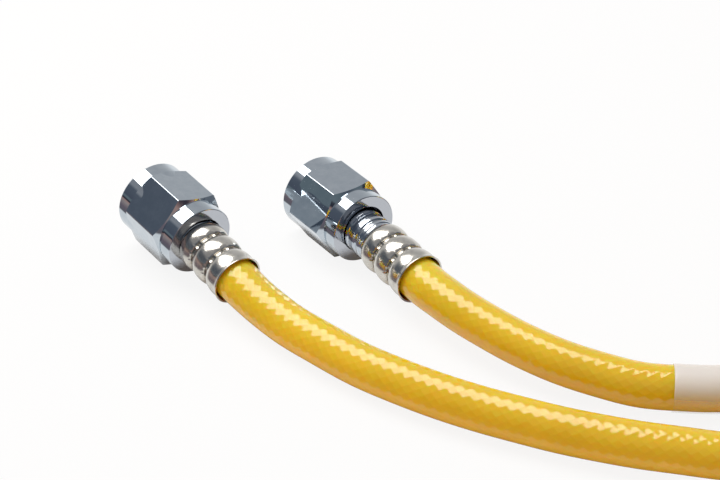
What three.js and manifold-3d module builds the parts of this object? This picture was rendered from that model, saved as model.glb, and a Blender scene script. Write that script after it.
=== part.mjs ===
// Medical air hose: a braided yellow hose with a screw-on hex nut fitting crimped on each end.
// It lies on a flat surface, both fittings side by side and the spare length in a round coil.
// Units are millimetres, +Z is up and the surface is z = 0. The origin is on that surface,
// under the middle of the box that holds the two fittings.

import * as THREE from "three";
import { mergeVertices } from "three/addons/utils/BufferGeometryUtils.js";
import Module from "manifold-3d";

// Driving dimensions

// Where the middle of the fittings' box lies in the frame in which the poses were measured.
const ORIGIN_X = -24.78;
const ORIGIN_Y = -12.09;

// Hose
const HOSE_R = 6.35;
const HOSE_BORE_R = 3.9;
const HOSE_SIDES = 12;
const HOSE_STEP = 7;
const HOSE_END_SEGMENTS = 24;

// Nut: distances run from the rear face of its collar (0) towards the threaded mouth
const NUT_LENGTH = 26.6;
const NUT_FLATS = 23.0;
const COLLAR_R = 11.05;
const COLLAR_LENGTH = 5.4;
const HEX_CORNER_REAR = 6.4;
const HEX_CORNER_FRONT = 20.8;
const SKIRT_R = 11.8;
const SKIRT_START = 21.7;
const EDGE_BREAK = 0.3;
const NUT_REAR_BORE_R = 7.46;
const NUT_SHOULDER = 7.0;
const THREAD_BORE_R = 8.8;
const THREAD_RELIEF_R = 9.7;
const THREAD_RELIEF_END = 9.2;
const MOUTH_CHAMFER_R = 9.9;
const MOUTH_CHAMFER = 1.1;
const NUT_SEGMENTS = 36;

// Nipple: distances run from the front face of the ferrule (0) towards the nose
const NIPPLE_BORE_R = 2.4;
const NECK_R = 6.9;
const NECK_GROOVE_R = 6.45;
const NECK_STEP_R = 6.6;
const NECK_START = 0.3;
const FLANGE_R = 8.0;
const FLANGE_START = 16.6;
const FLANGE_END = 19.3;
const NOSE_R = 6.2;
const NOSE_END = 25.6;
const SEAL_GROOVE_R = 4.9;
const SEAL_GROOVE_START = 20.9;
const SEAL_GROOVE_END = 23.3;
const STEM_R = 3.1;
const BARB_R = 3.6;
const BARB_LENGTH = 3.2;
const BARB_ENDS = [-16.3, -12.1, -7.9];
const STEM_END = -19.5;
const STEM_ROOT_R = 4.1;
const STEM_ROOT_END = -1.8;
const NIPPLE_SEGMENTS = 28;

// Sealing ring
const SEAL_RING_R = 5.95;
const SEAL_SECTION_R = 0.75;

// Ferrule: three bulges between two crimp grooves, and a thin flared rim at the hose's side
const FERRULE_LENGTH = 21.0;
const FERRULE_HOLE_R = 4.4;
const CRIMP_GROOVES = [-6.6, -13.9];
const CRIMP_HALF_WIDTH = 1.3;
const JAW_RIDGE_HEIGHT = 0.22;
const JAW_RIDGE_EVERY = 2;
const FERRULE_SEGMENTS = 36;

// Coil of the spare length: two turns wide and two turns high
const COIL_X = 223.85;
const COIL_Y = -27.6;
const COIL_MID_R = 63.5;
const COIL_LIFT = 1.5;
const COIL_SECTION = 4 * HOSE_R;
const COIL_SEGMENTS = 48;
const COIL_ROUNDING = 5;

// Tie around the coil
const TIE_WIDTH = 10;
const TIE_THICKNESS = 0.9;
const TIE_GAP = 0.5;
const TIE_ANGLE = Math.PI / 4;

// Label sleeve on the hose
const SLEEVE_BORE_R = 6.78;
const SLEEVE_R = 7.1;
const SLEEVE_STEP = 7;
const SLEEVE_FROM = 82;
const SLEEVE_TO = 117;

// Routes of the hose's two free runs, from fitting to coil, in the measuring frame
const NEAR_ROUTE = [
  [-34.76, -36.3, 9.25],
  [-33.06, -38.58, 8.91],
  [-28.1, -44.6, 8.1],
  [-20.2, -53.0, 7.2],
  [-11.3, -60.8, 6.77],
  [0.0, -70.1, 6.41],
  [11.0, -77.5, 6.4],
  [21.9, -83.9, 6.4],
  [32.5, -89.2, 6.4],
  [43.0, -93.7, 6.4],
  [53.4, -97.8, 6.4],
  [63.7, -101.1, 6.4],
  [74.0, -103.9, 6.4],
  [84.2, -106.0, 6.4],
  [95.0, -108.2, 6.4],
  [108.0, -109.8, 6.4],
  [124.0, -110.2, 6.4],
  [142.0, -108.7, 6.7],
  [158.0, -106.2, 7.2],
  [172.0, -103.5, 7.4],
  [187.8, -100.8, 7.6],
];
const FAR_ROUTE = [
  [18.82, -38.05, 11.14],
  [20.41, -40.43, 11.08],
  [23.2, -43.8, 10.92],
  [28.7, -50.1, 10.57],
  [34.2, -55.5, 10.18],
  [45.0, -64.5, 9.33],
  [55.7, -71.4, 8.52],
  [66.3, -76.2, 7.79],
  [77.0, -79.8, 7.17],
  [87.5, -81.3, 7.2],
  [100.0, -81.6, 7.2],
  [118.5, -78.3, 8.0],
  [134.7, -69.0, 10.6],
  [147.9, -52.6, 14.9],
];

// Poses of the two ends:
// position, heading (about +Z) and tilt (nose up) of the fitting, and the same of its nut,
// which hangs loose on the nipple: its own axis leans a little from the nipple's.
const NEAR_POSE = {
  fitting: { at: [-48.52, -17.91, 12.02], heading: 126.81, tilt: 6.88 },
  nut: { at: [-48.21, -17.94, 12.21], heading: 128.815, tilt: 5.254, roll: 15.131 },
};
const FAR_POSE = {
  fitting: { at: [5.96, -18.82, 11.62], heading: 123.77, tilt: 1.18 },
  nut: { at: [1.14, -11.21, 12.03], heading: 125.736, tilt: -0.487, roll: 0 },
};

// Materials

const CHROME = new THREE.MeshStandardMaterial({ color: 0xc9d2d8, roughness: 0.08, metalness: 1 });
const NICKEL = new THREE.MeshStandardMaterial({ color: 0xcfc9bd, roughness: 0.14, metalness: 1 });
const BRASS = new THREE.MeshStandardMaterial({ color: 0xcdd2d4, roughness: 0.1, metalness: 1 });
const RUBBER = new THREE.MeshStandardMaterial({ color: 0x151515, roughness: 0.6, metalness: 0 });
const HOSE = new THREE.MeshStandardMaterial({ color: 0xdeaf23, roughness: 0.35, metalness: 0 });
const FILM = new THREE.MeshStandardMaterial({ color: 0xe6e4dc, roughness: 0.4, metalness: 0 });
const STRAP = new THREE.MeshStandardMaterial({ color: 0x2a2a2c, roughness: 0.85, metalness: 0 });

// Joining and cutting

const wasm = await Module();
wasm.setup();

function toSolid(geometry) {
  const bare = geometry.clone();
  bare.deleteAttribute("normal");
  bare.deleteAttribute("uv");
  const merged = mergeVertices(bare, 1e-4);
  const index = merged.index.array;
  const triangles = [];
  for (let i = 0; i < index.length; i += 3) {
    const [a, b, c] = [index[i], index[i + 1], index[i + 2]];
    if (a !== b && b !== c && c !== a) {
      triangles.push(a, b, c);
    }
  }
  return new wasm.Manifold(
    new wasm.Mesh({
      numProp: 3,
      vertProperties: new Float32Array(merged.attributes.position.array),
      triVerts: new Uint32Array(triangles),
    })
  );
}

function toGeometry(solid) {
  const mesh = solid.getMesh();
  const geometry = new THREE.BufferGeometry();
  const positions = new Float32Array(mesh.vertProperties);
  geometry.setAttribute("position", new THREE.BufferAttribute(positions, 3));
  geometry.setIndex(new THREE.BufferAttribute(new Uint32Array(mesh.triVerts), 1));
  geometry.computeVertexNormals();
  return geometry;
}

// Shapes

// A closed profile of [radius, distance] turned about the X axis.
function turned(profile, segments) {
  const points = profile.map(([r, x]) => new THREE.Vector2(r, x));
  if (points[0].x > 0) {
    points.push(points[0].clone());
  }
  return new THREE.LatheGeometry(points, segments).rotateZ(-Math.PI / 2);
}

// A hexagonal bar along X, a corner on the Y axis.
function hexBar(flats, from, to) {
  const corner = flats / 2 / Math.cos(Math.PI / 6);
  const outline = new THREE.Shape();
  for (let k = 0; k < 6; k += 1) {
    const a = (k * Math.PI) / 3;
    const x = -corner * Math.sin(a);
    const y = corner * Math.cos(a);
    if (k === 0) {
      outline.moveTo(x, y);
    } else {
      outline.lineTo(x, y);
    }
  }
  outline.closePath();
  const bar = new THREE.ExtrudeGeometry(outline, { depth: to - from, bevelEnabled: false });
  return bar.rotateY(Math.PI / 2).translate(from, 0, 0);
}

function nutGeometry() {
  const corner = NUT_FLATS / 2 / Math.cos(Math.PI / 6);
  const outside = turned(
    [
      [0, 0],
      [COLLAR_R - EDGE_BREAK, 0],
      [COLLAR_R, EDGE_BREAK],
      [COLLAR_R, COLLAR_LENGTH],
      [corner + 0.02, HEX_CORNER_REAR],
      [corner + 0.02, HEX_CORNER_FRONT],
      [SKIRT_R, SKIRT_START],
      [SKIRT_R, NUT_LENGTH - EDGE_BREAK],
      [SKIRT_R - EDGE_BREAK, NUT_LENGTH],
      [0, NUT_LENGTH],
    ],
    NUT_SEGMENTS
  );
  const skirt = turned(
    [
      [0, SKIRT_START],
      [SKIRT_R + 1, SKIRT_START],
      [SKIRT_R + 1, NUT_LENGTH + 1],
      [0, NUT_LENGTH + 1],
    ],
    NUT_SEGMENTS
  );
  const inside = turned(
    [
      [0, -1],
      [NUT_REAR_BORE_R, -1],
      [NUT_REAR_BORE_R, NUT_SHOULDER],
      [THREAD_RELIEF_R, NUT_SHOULDER],
      [THREAD_RELIEF_R, THREAD_RELIEF_END],
      [THREAD_BORE_R, THREAD_RELIEF_END + 0.9],
      [THREAD_BORE_R, NUT_LENGTH - MOUTH_CHAMFER],
      [MOUTH_CHAMFER_R, NUT_LENGTH],
      [MOUTH_CHAMFER_R, NUT_LENGTH + 1],
      [0, NUT_LENGTH + 1],
    ],
    NUT_SEGMENTS
  );
  const shell = toSolid(hexBar(NUT_FLATS, -1, SKIRT_START + 0.01)).add(toSolid(skirt));
  return toGeometry(toSolid(outside).intersect(shell).subtract(toSolid(inside)));
}

function nippleGeometry() {
  const profile = [
    [NIPPLE_BORE_R, STEM_END],
    [STEM_R - 0.2, STEM_END],
  ];
  for (const end of BARB_ENDS) {
    if (end !== BARB_ENDS[0]) {
      profile.push([STEM_R, end - BARB_LENGTH]);
    }
    profile.push([BARB_R, end]);
    profile.push([STEM_R, end]);
  }
  profile.push(
    [STEM_R, STEM_ROOT_END],
    [STEM_ROOT_R, STEM_ROOT_END],
    [STEM_ROOT_R, NECK_START],
    [NECK_STEP_R, NECK_START],
    [NECK_STEP_R, 1.4],
    [NECK_R, 1.6],
    [NECK_R, 3.2],
    [NECK_GROOVE_R, 3.3],
    [NECK_GROOVE_R, 3.7],
    [NECK_R, 3.8],
    [NECK_R, 7.2],
    [NECK_GROOVE_R, 7.2],
    [NECK_GROOVE_R, 7.7],
    [NECK_R, 7.8],
    [NECK_R, FLANGE_START],
    [FLANGE_R, FLANGE_START],
    [FLANGE_R, FLANGE_END - 0.4],
    [FLANGE_R - 0.4, FLANGE_END],
    [NOSE_R, FLANGE_END],
    [NOSE_R, SEAL_GROOVE_START],
    [SEAL_GROOVE_R, SEAL_GROOVE_START],
    [SEAL_GROOVE_R, SEAL_GROOVE_END],
    [NOSE_R, SEAL_GROOVE_END],
    [NOSE_R, NOSE_END - 0.7],
    [NOSE_R - 0.7, NOSE_END],
    [NIPPLE_BORE_R + 0.5, NOSE_END],
    [NIPPLE_BORE_R, NOSE_END - 0.5]
  );
  return turned(profile, NIPPLE_SEGMENTS);
}

function sealGeometry() {
  const ring = new THREE.TorusGeometry(SEAL_RING_R, SEAL_SECTION_R, 8, 24);
  const middle = (SEAL_GROOVE_START + SEAL_GROOVE_END) / 2;
  return ring.rotateY(Math.PI / 2).translate(middle, 0, 0);
}

// Outside of the ferrule from the rim to the front, and its inside back to the rim.
const FERRULE_OUTSIDE = [
  [8.0, -FERRULE_LENGTH],
  [7.8, -20.2],
  [7.75, -18.0],
  [7.62, -16.4],
  [7.2, -15.0],
  [6.98, -14.3],
  [6.98, -13.5],
  [7.2, -12.8],
  [7.62, -11.5],
  [7.76, -10.2],
  [7.62, -8.8],
  [7.2, -7.6],
  [6.96, -7.0],
  [6.96, -6.2],
  [7.2, -5.6],
  [7.58, -4.5],
  [7.72, -3.2],
  [7.58, -1.9],
  [7.04, -0.7],
  [6.72, 0],
];
const FERRULE_INSIDE = [
  [FERRULE_HOLE_R, 0],
  [FERRULE_HOLE_R, -0.9],
  [6.3, -0.9],
  [7.02, -3.2],
  [6.38, -6.6],
  [7.06, -10.2],
  [6.4, -13.9],
  [7.06, -18.0],
  [7.35, -FERRULE_LENGTH],
];

// The crimping jaws leave a ridge between each two of their marks, in both grooves.
function ferruleGeometry() {
  const profile = [...FERRULE_OUTSIDE, ...FERRULE_INSIDE];
  const geometry = turned(profile, FERRULE_SEGMENTS);
  const position = geometry.attributes.position;
  const rows = profile.length + 1;
  for (let i = 0; i < position.count; i += 1) {
    const row = i % rows;
    const column = Math.floor(i / rows);
    const [r, u] = profile[row % profile.length];
    const off = Math.min(...CRIMP_GROOVES.map((g) => Math.abs(u - g)));
    const outside = row < FERRULE_OUTSIDE.length;
    if (outside && off < CRIMP_HALF_WIDTH && column % JAW_RIDGE_EVERY === 0) {
      const k = (r + JAW_RIDGE_HEIGHT * (1 - off / CRIMP_HALF_WIDTH)) / r;
      position.setY(i, position.getY(i) * k);
      position.setZ(i, position.getZ(i) * k);
    }
  }
  geometry.computeVertexNormals();
  return geometry;
}

// The hose's crimped end: squeezed under both grooves, swollen between and behind them.
const HOSE_END_OUTSIDE = [
  [6.6, -22.6],
  [6.72, -18.0],
  [6.05, -13.9],
  [6.7, -10.2],
  [6.03, -6.6],
  [6.6, -3.4],
  [5.9, -2.1],
];

function hoseEndGeometry() {
  const back = HOSE_END_OUTSIDE[0][1];
  const front = HOSE_END_OUTSIDE[HOSE_END_OUTSIDE.length - 1][1];
  const profile = [[HOSE_BORE_R, back], ...HOSE_END_OUTSIDE, [HOSE_BORE_R, front]];
  return turned(profile, HOSE_END_SEGMENTS);
}

function smoothPath(points) {
  const shifted = points.map(([x, y, z]) => new THREE.Vector3(x - ORIGIN_X, y - ORIGIN_Y, z));
  return new THREE.CatmullRomCurve3(shifted, false, "centripetal");
}

// The stretch of a path between two distances along it.
class Stretch extends THREE.Curve {
  constructor(path, from, to) {
    super();
    this.path = path;
    this.from = from / path.getLength();
    this.to = to / path.getLength();
  }

  getPoint(t, target = new THREE.Vector3()) {
    return this.path.getPointAt(this.from + (this.to - this.from) * t, target);
  }
}

function ringShape(outer, inner, sides) {
  const shape = new THREE.Shape();
  const hole = new THREE.Path();
  for (let k = 0; k < sides; k += 1) {
    const a = (k * 2 * Math.PI) / sides;
    if (k === 0) {
      shape.moveTo(outer, 0);
      hole.moveTo(inner, 0);
    } else {
      shape.lineTo(outer * Math.cos(a), outer * Math.sin(a));
      hole.lineTo(inner * Math.cos(a), -inner * Math.sin(a));
    }
  }
  shape.closePath();
  if (inner > 0) {
    hole.closePath();
    shape.holes.push(hole);
  }
  return shape;
}

function alongPath(shape, path, step) {
  const steps = Math.max(2, Math.round(path.getLength() / step));
  return new THREE.ExtrudeGeometry(shape, { steps, extrudePath: path, bevelEnabled: false });
}

function coilGeometry() {
  const round = COIL_ROUNDING;
  const cut = round * (1 - Math.SQRT1_2);
  const low = COIL_LIFT;
  const high = COIL_LIFT + COIL_SECTION;
  const inner = COIL_MID_R - COIL_SECTION / 2;
  const outer = COIL_MID_R + COIL_SECTION / 2;
  const profile = [
    [inner + round, low],
    [outer - round, low],
    [outer - cut, low + cut],
    [outer, low + round],
    [outer, high - round],
    [outer - cut, high - cut],
    [outer - round, high],
    [inner + round, high],
    [inner + cut, high - cut],
    [inner, high - round],
    [inner, low + round],
    [inner + cut, low + cut],
  ].map(([r, z]) => new THREE.Vector2(r, z));
  profile.push(profile[0].clone());
  return new THREE.LatheGeometry(profile, COIL_SEGMENTS).rotateX(Math.PI / 2);
}

// A flat strap wound once round the coil's section.
function tieGeometry() {
  const inner = COIL_SECTION / 2 + TIE_GAP;
  const outer = inner + TIE_THICKNESS;
  const outline = roundedSquare(outer, 5.5);
  outline.holes.push(roundedSquare(inner, 4.4));
  const band = new THREE.ExtrudeGeometry(outline, {
    depth: TIE_WIDTH,
    bevelEnabled: false,
    curveSegments: 4,
  });
  return band.translate(0, 0, -TIE_WIDTH / 2);
}

function roundedSquare(half, round) {
  const s = new THREE.Shape();
  const e = half - round;
  s.moveTo(half, -e);
  s.lineTo(half, e);
  s.absarc(e, e, round, 0, Math.PI / 2, false);
  s.absarc(-e, e, round, Math.PI / 2, Math.PI, false);
  s.absarc(-e, -e, round, Math.PI, Math.PI * 1.5, false);
  s.absarc(e, -e, round, Math.PI * 1.5, Math.PI * 2, false);
  return s;
}

// Assembly

function placed(pose) {
  const group = new THREE.Group();
  const [x, y, z] = pose.at;
  group.position.set(x - ORIGIN_X, y - ORIGIN_Y, z);
  const rad = Math.PI / 180;
  group.rotation.order = "ZYX";
  group.rotation.set((pose.roll || 0) * rad, -pose.tilt * rad, pose.heading * rad);
  return group;
}

function named(name, geometry, material) {
  const mesh = new THREE.Mesh(geometry, material.clone());
  mesh.name = name;
  return mesh;
}

function hoseFitting(side, pose) {
  const end = new THREE.Group();
  const fitting = placed(pose.fitting);
  fitting.add(named(`${side}_nipple`, nippleGeometry(), BRASS));
  fitting.add(named(`${side}_seal_ring`, sealGeometry(), RUBBER));
  fitting.add(named(`${side}_ferrule`, ferruleGeometry(), NICKEL));
  fitting.add(named(`${side}_hose_end`, hoseEndGeometry(), HOSE));
  const nut = placed(pose.nut);
  nut.add(named(`${side}_hex_nut`, nutGeometry(), CHROME));
  end.add(fitting, nut);
  return end;
}

const airHose = new THREE.Group();
airHose.name = "medical_air_hose";
airHose.add(hoseFitting("near", NEAR_POSE));
airHose.add(hoseFitting("far", FAR_POSE));

const round = ringShape(HOSE_R, 0, HOSE_SIDES);
const film = ringShape(SLEEVE_R, SLEEVE_BORE_R, HOSE_SIDES);
const nearPath = smoothPath(NEAR_ROUTE);
const farPath = smoothPath(FAR_ROUTE);
const sleevePath = new Stretch(farPath, SLEEVE_FROM, SLEEVE_TO);
airHose.add(named("hose_near_run", alongPath(round, nearPath, HOSE_STEP), HOSE));
airHose.add(named("hose_far_run", alongPath(round, farPath, HOSE_STEP), HOSE));
airHose.add(named("label_sleeve", alongPath(film, sleevePath, SLEEVE_STEP), FILM));

const coil = new THREE.Group();
coil.position.set(COIL_X - ORIGIN_X, COIL_Y - ORIGIN_Y, 0);
coil.add(named("hose_coil", coilGeometry(), HOSE));
const tie = named("coil_tie", tieGeometry(), STRAP);
const tieAt = new THREE.Vector3(COIL_MID_R, 0, COIL_LIFT + COIL_SECTION / 2);
tie.position.copy(tieAt.applyAxisAngle(new THREE.Vector3(0, 0, 1), TIE_ANGLE));
tie.rotation.set(Math.PI / 2, TIE_ANGLE, 0, "ZXY");
coil.add(tie);
airHose.add(coil);

export default airHose;
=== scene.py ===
# %% [markdown]
# # A medical air hose in a white studio
# The real object is a yellow braided hose, as thick as a thumb, with a chromed screw fitting
# crimped on each end. The CAD part already holds its size and its joints. This lesson dresses
# that part: every solid is modelled again with its fine detail, finished with a material, lit
# and photographed. Load the part first, because all pieces must sit where its solids are.

# %% Load the part
import math
import bpy
import numpy as np
from mathutils import Matrix, Vector


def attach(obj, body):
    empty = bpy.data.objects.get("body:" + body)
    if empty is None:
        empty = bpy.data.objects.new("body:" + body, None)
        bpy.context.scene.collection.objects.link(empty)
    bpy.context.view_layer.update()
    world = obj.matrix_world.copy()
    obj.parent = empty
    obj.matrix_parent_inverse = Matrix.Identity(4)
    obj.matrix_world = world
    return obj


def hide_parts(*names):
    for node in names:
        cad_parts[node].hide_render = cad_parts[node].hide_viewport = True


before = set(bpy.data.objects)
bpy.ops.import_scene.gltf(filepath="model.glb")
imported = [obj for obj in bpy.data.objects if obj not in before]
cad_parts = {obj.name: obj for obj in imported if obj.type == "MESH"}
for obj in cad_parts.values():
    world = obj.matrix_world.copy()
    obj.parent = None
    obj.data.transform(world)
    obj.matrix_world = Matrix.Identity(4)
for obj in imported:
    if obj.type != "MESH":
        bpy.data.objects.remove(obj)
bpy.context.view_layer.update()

print("solids:", sorted(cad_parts))

# %% [markdown]
# ## The camera
# A product photographer used a long lens from a low table-top angle, about 35 degrees above
# the surface and half a metre away. The place comes from matching the corners of both nuts
# with the photograph, so nothing here is turned or shifted by eye.

# %% Camera
VIEW_ELEVATION = 34.866
VIEW_DISTANCE = 0.564755
VIEW_TARGET = Vector((0.02478, 0.01209, 0.0))

tilt = math.radians(VIEW_ELEVATION)
lens = bpy.data.cameras.new("product_lens")
lens.lens = 90.074
lens.sensor_width = 36.0
lens.clip_start = 0.02
camera = bpy.data.objects.new("product_camera", lens)
camera.location = VIEW_TARGET + VIEW_DISTANCE * Vector((0, -math.cos(tilt), math.sin(tilt)))
camera.rotation_euler = (math.pi / 2 - tilt, 0, 0)
bpy.context.scene.collection.objects.link(camera)
bpy.context.scene.camera = camera
print("camera at", [round(v, 4) for v in camera.location])

# %% [markdown]
# ## Where the fittings lie
# Each end is one straight stack: nut, nipple, ferrule. A pose says where the stack's origin
# is, which way it points and how much it is tilted. The nut hangs loose on the nipple, so it
# has a pose of its own that leans a little. Distances along a stack are in millimetres.

# %% Poses of the two ends
MM = 0.001
ROW_SHIFT = Vector((24.78, 12.09, 0.0))


def pose(at, heading, tilt_up, roll=0.0):
    turn = (
        Matrix.Rotation(math.radians(heading), 4, "Z")
        @ Matrix.Rotation(math.radians(-tilt_up), 4, "Y")
        @ Matrix.Rotation(math.radians(roll), 4, "X")
    )
    return Matrix.Translation((Vector(at) + ROW_SHIFT) * MM) @ turn @ Matrix.Scale(MM, 4)


FITTING = {
    "near": pose((-48.52, -17.91, 12.02), 126.81, 6.88),
    "far": pose((5.96, -18.82, 11.62), 123.77, 1.18),
}
NUT = {
    "near": pose((-48.21, -17.94, 12.21), 128.815, 5.254, 15.131),
    "far": pose((1.14, -11.21, 12.03), 125.736, -0.487),
}

# %% [markdown]
# ## The hose's route
# A hose is a fixed length of something springy, so its route comes before its shape. These
# are the same route points as in the CAD source. Between the two runs the spare length is
# wound into a coil of four turns, two wide and two high. Four hoses in a square bundle can
# take turns without crossing: each time round, the whole bundle rolls by a quarter.

# %% Route of the hose
HOSE_R = 6.35
NEAR_ROUTE = [
    (-34.76, -36.3, 9.25), (-33.06, -38.58, 8.91), (-28.1, -44.6, 8.1), (-20.2, -53.0, 7.2),
    (-11.3, -60.8, 6.77), (0.0, -70.1, 6.41), (11.0, -77.5, 6.4), (21.9, -83.9, 6.4),
    (32.5, -89.2, 6.4), (43.0, -93.7, 6.4), (53.4, -97.8, 6.4), (63.7, -101.1, 6.4),
    (74.0, -103.9, 6.4), (84.2, -106.0, 6.4), (95.0, -108.2, 6.4), (108.0, -109.8, 6.4),
    (124.0, -110.2, 6.4), (142.0, -108.7, 6.7), (158.0, -106.2, 7.2), (172.0, -103.5, 7.4),
    (187.8, -100.8, 7.6),
]
FAR_ROUTE = [
    (18.82, -38.05, 11.14), (20.41, -40.43, 11.08), (23.2, -43.8, 10.92), (28.7, -50.1, 10.57),
    (34.2, -55.5, 10.18), (45.0, -64.5, 9.33), (55.7, -71.4, 8.52), (66.3, -76.2, 7.79),
    (77.0, -79.8, 7.17), (87.5, -81.3, 7.2), (100.0, -81.6, 7.2), (118.5, -78.3, 8.0),
    (134.7, -69.0, 10.6), (147.9, -52.6, 14.9),
]
COIL_CENTRE = np.array([223.85, -27.6])
COIL_MID_R = 63.5
# The coil clears the table by a hair, and the tie under its right side lifts it there.
COIL_GAP, COIL_LIFT = 0.05, 1.57
BUNDLE_R = HOSE_R * math.sqrt(2)
# The bundle rolls between these angles, in degrees from the coil's right side.
ROLL_ZONE = (180.0, 270.0)
# The hose begins this far inside the ferrule.
HOSE_START = 2.1


def coil_point(turned_by):
    """The hose's middle after that many degrees along the coil, counted from its right side."""
    start, end = ROLL_ZONE
    passes, within = divmod(turned_by - start, 360.0)
    share = min(within / (end - start), 1.0)
    eased = (1 - math.cos(math.pi * share)) / 2
    rolled = math.radians(90 * (passes + eased))
    around = -math.pi / 4 - rolled
    angle = math.radians(turned_by)
    on_tie = math.sqrt(max(0.0, 0.5 + 0.5 * math.cos(angle)))
    lowest = COIL_GAP + COIL_LIFT * on_tie + HOSE_R
    middle_z = lowest + BUNDLE_R * math.sin(math.pi / 4 + math.radians(90 * eased))
    radius = COIL_MID_R + BUNDLE_R * math.cos(around)
    x, y = COIL_CENTRE + radius * np.array([math.cos(angle), math.sin(angle)])
    return (x, y, middle_z + BUNDLE_R * math.sin(around))


def on_axis(side, distance):
    """A point on a fitting's axis, in the measuring frame."""
    return tuple(FITTING[side] @ Vector((distance, 0, 0)) / MM - ROW_SHIFT)


inside_ends = [-HOSE_START, -6.0, -10.0, -14.0, -18.0]
waypoints = (
    [on_axis("near", u) for u in inside_ends]
    + NEAR_ROUTE
    + [coil_point(a) for a in np.arange(-90, 1261, 15)]
    + FAR_ROUTE[::-1]
    + [on_axis("far", u) for u in inside_ends[::-1]]
)
print("waypoints:", len(waypoints))

# %% [markdown]
# ### From waypoints to a smooth line
# A centripetal Catmull-Rom curve passes through every point and never loops between two of
# them. The CAD source uses the same kind of curve. It is then walked at an even pace.

# %% Smooth line


def catmull_rom(points, per_span=24):
    p = np.array(points, float)
    p = np.vstack([2 * p[0] - p[1], p, 2 * p[-1] - p[-2]])
    out = []
    for a, b, c, d in zip(p[:-3], p[1:-2], p[2:-1], p[3:]):
        t1 = np.linalg.norm(b - a) ** 0.5
        t2 = t1 + np.linalg.norm(c - b) ** 0.5
        t3 = t2 + np.linalg.norm(d - c) ** 0.5
        t = np.linspace(t1, t2, per_span, endpoint=False)[:, None]
        ab = (t1 - t) / t1 * a + t / t1 * b
        bc = (t2 - t) / (t2 - t1) * b + (t - t1) / (t2 - t1) * c
        cd = (t3 - t) / (t3 - t2) * c + (t - t2) / (t3 - t2) * d
        abc = (t2 - t) / t2 * ab + t / t2 * bc
        bcd = (t3 - t) / (t3 - t1) * bc + (t - t1) / (t3 - t1) * cd
        out.append((t2 - t) / (t2 - t1) * abc + (t - t1) / (t2 - t1) * bcd)
    return np.vstack([*out, p[-2:-1]])


def distances(line):
    return np.concatenate([[0], np.cumsum(np.linalg.norm(np.diff(line, axis=0), axis=1))])


def at_distance(line, along, where):
    return np.stack([np.interp(where, along, line[:, k]) for k in range(3)], axis=1)


hose_line = catmull_rom(waypoints) + np.array(ROW_SHIFT)
hose_along = distances(hose_line)
HOSE_LENGTH = hose_along[-1]
print("hose length in millimetres:", round(HOSE_LENGTH, 1))

# %% [markdown]
# ## Tubes
# A tube is a ring of points carried along the line. Turning the ring only as much as the line
# turns (parallel transport) keeps the braid from twisting. Each ring may have its own radius,
# because the hose is squeezed in the crimp and swells behind it. The tube also gets a UV map:
# U counts millimetres along the hose and V goes once round it.

# %% Tube maker
UV_MAP = "along_and_round"


def frames_along(line):
    tangent = np.gradient(line, axis=0)
    tangent /= np.linalg.norm(tangent, axis=1)[:, None]
    side = np.cross(tangent[0], (0.0, 0.0, 1.0))
    side /= np.linalg.norm(side)
    sides = [side]
    for t in tangent[1:]:
        side = side - t * (side @ t)
        side /= np.linalg.norm(side)
        sides.append(side)
    sides = np.array(sides)
    return sides, np.cross(sides, tangent)


def mesh_piece(name, corners, faces, uvs):
    """A smooth piece from corners in metres, with one UV for each corner of each face."""
    mesh = bpy.data.meshes.new(name)
    mesh.from_pydata(np.array(corners).tolist(), [], faces)
    layer = mesh.uv_layers.new(name=UV_MAP)
    layer.data.foreach_set("uv", np.array(uvs, np.float32).ravel())
    mesh.shade_smooth()
    piece = bpy.data.objects.new(name, mesh)
    bpy.context.scene.collection.objects.link(piece)
    return piece


def tube(name, rings, uv_along, columns):
    """rings is a list of arrays, each with columns points round the tube, in metres."""
    faces, uvs = [], []
    for i in range(len(rings) - 1):
        this, after = i * columns, (i + 1) * columns
        for j in range(columns):
            k = (j + 1) % columns
            faces.append((this + j, this + k, after + k, after + j))
            u0, u1, v0, v1 = uv_along[i], uv_along[i + 1], j / columns, (j + 1) / columns
            uvs += [(u0, v0), (u0, v1), (u1, v1), (u1, v0)]
    last = (len(rings) - 1) * columns
    for first_corner, u, order in ((0, uv_along[0], -1), (last, uv_along[-1], 1)):
        faces.append(tuple(first_corner + j for j in range(columns))[::order])
        uvs += [(u, j / columns) for j in range(columns)][::order]
    return mesh_piece(name, np.vstack(rings), faces, uvs)


# %% [markdown]
# ## The hose
# The hose is one piece, from barb to barb. Inside each ferrule it follows the crimp's grooves,
# and it is hollow there, so that a look through the fitting's bore ends in the dark. Rings are
# closer together where the camera is near than in the coil.

# %% Hose
HOSE_COLUMNS = 56
HOSE_BORE_R = 3.9
BORE_DEPTH = 40.0
CRIMPED_DEPTHS = [HOSE_START, 3.4, 6.6, 10.2, 13.9, 18.0, 22.6, 30.0, 48.0]
CRIMPED_RADII = [5.9, 6.6, 6.03, 6.7, 6.05, 6.72, 6.66, 6.5, HOSE_R]
# How far from its ends the hose is in a ferrule, and how far the camera sees it.
FITTED, SEEN = 20, 190.0
FITTED_STEP, SEEN_STEP, COIL_STEP = 0.7, 1.3, 2.6
BORE_RINGS = 14


def hose_radius(along):
    depth = np.minimum(along, HOSE_LENGTH - along) + HOSE_START
    return np.interp(depth, CRIMPED_DEPTHS, CRIMPED_RADII)


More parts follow.
